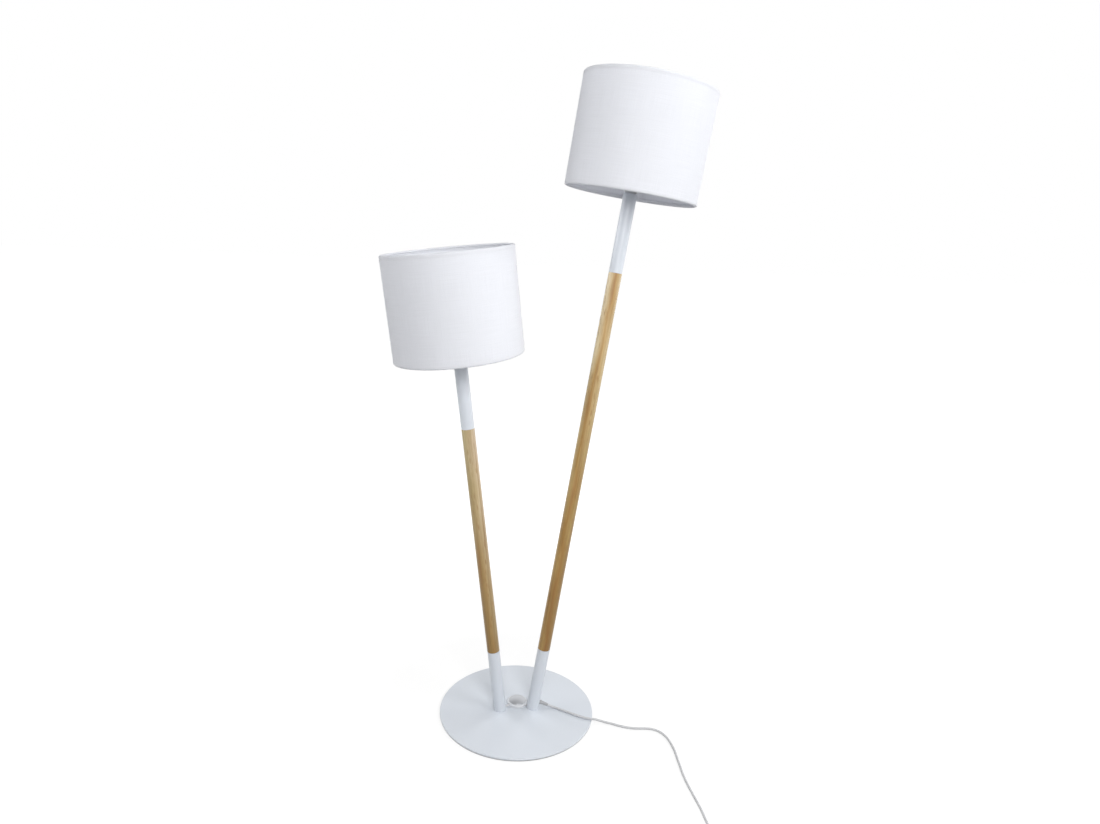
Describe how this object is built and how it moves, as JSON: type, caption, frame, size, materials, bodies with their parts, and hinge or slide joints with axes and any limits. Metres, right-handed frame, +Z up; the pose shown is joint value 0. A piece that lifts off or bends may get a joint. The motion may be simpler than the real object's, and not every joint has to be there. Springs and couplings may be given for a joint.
{
  "type": "floor lamp",
  "caption": "Free-standing floor lamp with a round base, two straight leaning poles of steel tube and wood, a fabric drum shade on each, and a foot switch between the poles.",
  "frame": {"origin": "centre of the round base on the floor, at the underside of the felt disc", "axes": "+Z up; +X towards the foot of the tall pole; -Y towards the front, where the picture was taken"},
  "size_m": [0.7648, 0.7584, 1.5006],
  "materials": {
    "white_steel": "satin white powder coat",
    "wood": "clear matt lacquer on knotty light wood",
    "shade_fabric": "white cotton on a stiff liner",
    "white_plastic": "satin",
    "white_wire": "white coated wire",
    "insulator": "matt",
    "dark_plastic": "matt",
    "brass": "bright",
    "steel": "zinc plated",
    "button_metal": "satin",
    "pin_metal": "bright nickel",
    "cord": "matt white flexible sheath",
    "felt": "pressed felt"
  },
  "bodies": {
    "lamp": {"base_pad": "felt", "base_plate": "white_steel", "foot_screws": "steel", "foot_block_left": "steel", "foot_block_right": "steel", "lower_tube_left": "white_steel", "lower_tube_right": "white_steel", "wood_pole_left": "wood", "wood_pole_right": "wood", "upper_tube_left": "white_steel", "upper_tube_right": "white_steel", "tube_plugs": "steel", "joint_nipples": "steel", "wood_inserts": "brass", "holder_nipples": "steel", "holder_cap_left": "white_plastic", "holder_cap_right": "white_plastic", "holder_skirt_left": "white_plastic", "holder_skirt_right": "white_plastic", "contact_block_left": "insulator", "contact_block_right": "insulator", "bulb_shell_left": "brass", "bulb_shell_right": "brass", "centre_contacts": "brass", "shade_frame_left": "white_wire", "shade_frame_right": "white_wire", "shade_nut_left": "white_plastic", "shade_nut_right": "white_plastic", "shade_top_ring_left": "white_wire", "shade_top_ring_right": "white_wire", "shade_drum_left": "shade_fabric", "shade_drum_right": "shade_fabric", "switch_base": "white_plastic", "switch_core": "dark_plastic", "switch_spring": "steel", "switch_cover": "white_plastic", "switch_screws": "steel", "terminal_block": "insulator", "lead_left": "cord", "lead_right": "cord", "switch_link": "cord", "mains_tail": "cord", "cord_gland": "cord", "mains_cord": "cord", "cord_coil": "cord", "cord_tie": "dark_plastic", "plug_body": "cord", "plug_pins": "pin_metal"},
    "foot_button": {"switch_button": "button_metal"}
  },
  "joints": [
    {"name": "foot_switch_press", "type": "slide", "parent": "lamp", "child": "foot_button", "axis": [0, 0, -1], "range_m": [0, 0.0025], "stiffness_N_per_m": 800, "springref_m": -0.002, "deforming": ["switch_spring"]}
  ]
}
